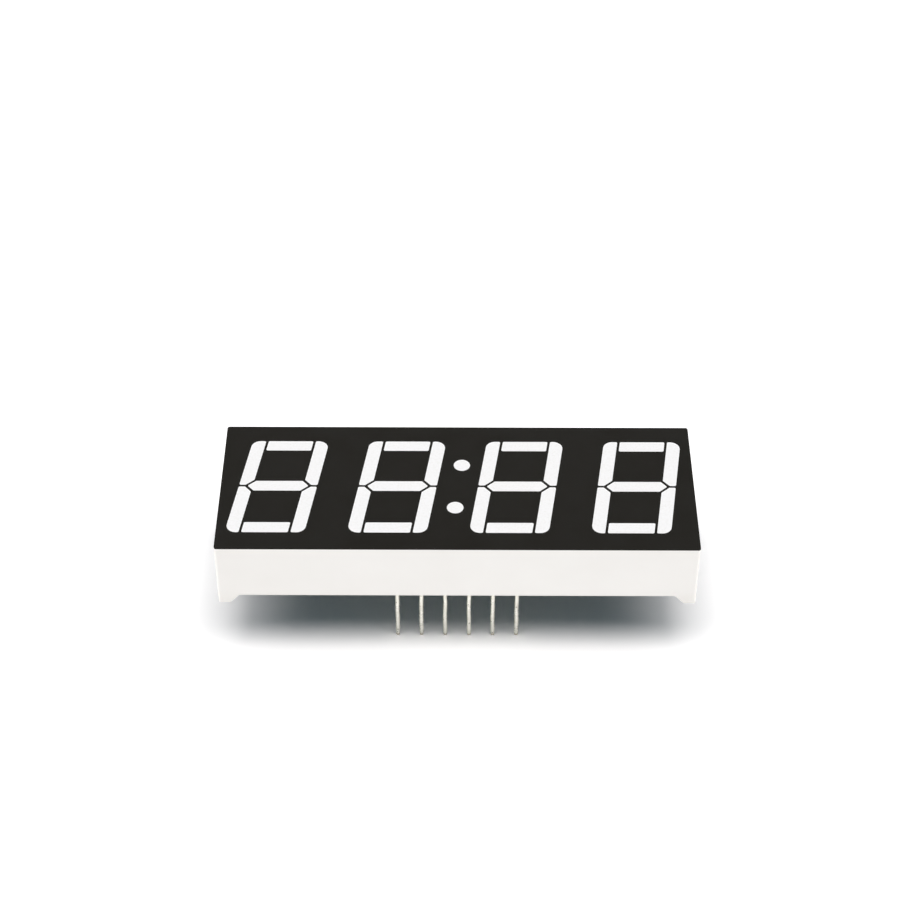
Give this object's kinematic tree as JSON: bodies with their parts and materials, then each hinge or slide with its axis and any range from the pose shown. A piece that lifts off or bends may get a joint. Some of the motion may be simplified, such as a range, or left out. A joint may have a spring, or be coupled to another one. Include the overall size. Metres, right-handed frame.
{
  "type": "four-digit seven-segment display",
  "caption": "Flat display block with leaning segmented digits and a colon on a black face, white reflector housing with corner feet, and two rows of wire pins for a circuit board.",
  "frame": {"origin": "middle of the pin pattern, on the seating plane under the four corner feet", "axes": "+X along the row of digits, to the right when read; +Y up the digits; +Z out of the face"},
  "size_m": [0.0502, 0.019, 0.0147],
  "materials": {
    "housing_plastic": "fine moulded satin, white",
    "mask_ink": "matt black",
    "diffuser_resin": "milky white cast resin, satin",
    "board_laminate": "glass-fibre laminate",
    "chip_crystal": "cut crystal",
    "bond_metal": "bright drawn wire",
    "coat_resin": "soft cast coat",
    "solder": "bright solder",
    "clear_resin": "clear cast resin, glossy",
    "tinned_wire": "tin-plated wire"
  },
  "bodies": {
    "root": {"housing": "housing_plastic", "face_mask": "mask_ink", "circuit_board": "board_laminate", "led_chips": "chip_crystal", "bond_wires": "bond_metal", "die_coats": "coat_resin", "solder_joints": "solder", "potting_resin": "clear_resin", "colon_dot_lower": "diffuser_resin", "colon_dot_upper": "diffuser_resin", "digit_1_segment_a": "diffuser_resin", "digit_1_segment_b": "diffuser_resin", "digit_1_segment_c": "diffuser_resin", "digit_1_segment_d": "diffuser_resin", "digit_1_segment_e": "diffuser_resin", "digit_1_segment_f": "diffuser_resin", "digit_1_segment_g": "diffuser_resin", "digit_2_segment_a": "diffuser_resin", "digit_2_segment_b": "diffuser_resin", "digit_2_segment_c": "diffuser_resin", "digit_2_segment_d": "diffuser_resin", "digit_2_segment_e": "diffuser_resin", "digit_2_segment_f": "diffuser_resin", "digit_2_segment_g": "diffuser_resin", "digit_3_segment_a": "diffuser_resin", "digit_3_segment_b": "diffuser_resin", "digit_3_segment_c": "diffuser_resin", "digit_3_segment_d": "diffuser_resin", "digit_3_segment_e": "diffuser_resin", "digit_3_segment_f": "diffuser_resin", "digit_3_segment_g": "diffuser_resin", "digit_4_segment_a": "diffuser_resin", "digit_4_segment_b": "diffuser_resin", "digit_4_segment_c": "diffuser_resin", "digit_4_segment_d": "diffuser_resin", "digit_4_segment_e": "diffuser_resin", "digit_4_segment_f": "diffuser_resin", "digit_4_segment_g": "diffuser_resin", "pin_1": "tinned_wire", "pin_2": "tinned_wire", "pin_3": "tinned_wire", "pin_4": "tinned_wire", "pin_5": "tinned_wire", "pin_6": "tinned_wire", "pin_7": "tinned_wire", "pin_8": "tinned_wire", "pin_9": "tinned_wire", "pin_10": "tinned_wire", "pin_11": "tinned_wire", "pin_12": "tinned_wire"}
  },
  "joints": []
}
